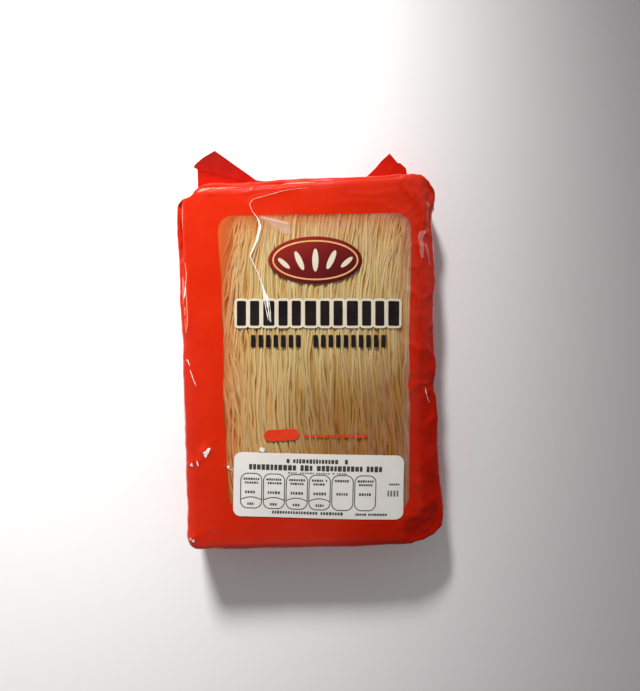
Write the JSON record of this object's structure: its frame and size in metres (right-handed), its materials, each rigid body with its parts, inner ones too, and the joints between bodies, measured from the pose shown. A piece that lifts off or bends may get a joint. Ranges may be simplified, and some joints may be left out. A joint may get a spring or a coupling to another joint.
{
  "type": "pack of dried rice vermicelli",
  "caption": "Sealed film pack with a clear window over a block of dried rice vermicelli, folded end seals with film ears and a paper sticker on the front.",
  "frame": {"origin": "middle of the bounding box of the pack, ears included, on the plane it lies on", "axes": "+X to the right of the front, +Y along the pack towards the end with the ears, +Z out of the front"},
  "size_m": [0.1576, 0.2454, 0.0386],
  "materials": {
    "printed_film": "glossy orange-red printed plastic film",
    "label_paper": "matt white sticker paper with plain grey and black print",
    "clear_film": "clear glossy plastic film",
    "noodle": "dry, slightly translucent ivory rice noodle",
    "ink": "solid print on the clear film"
  },
  "bodies": {
    "root": {"pack": "printed_film", "label": "label_paper"}
  },
  "joints": []
}
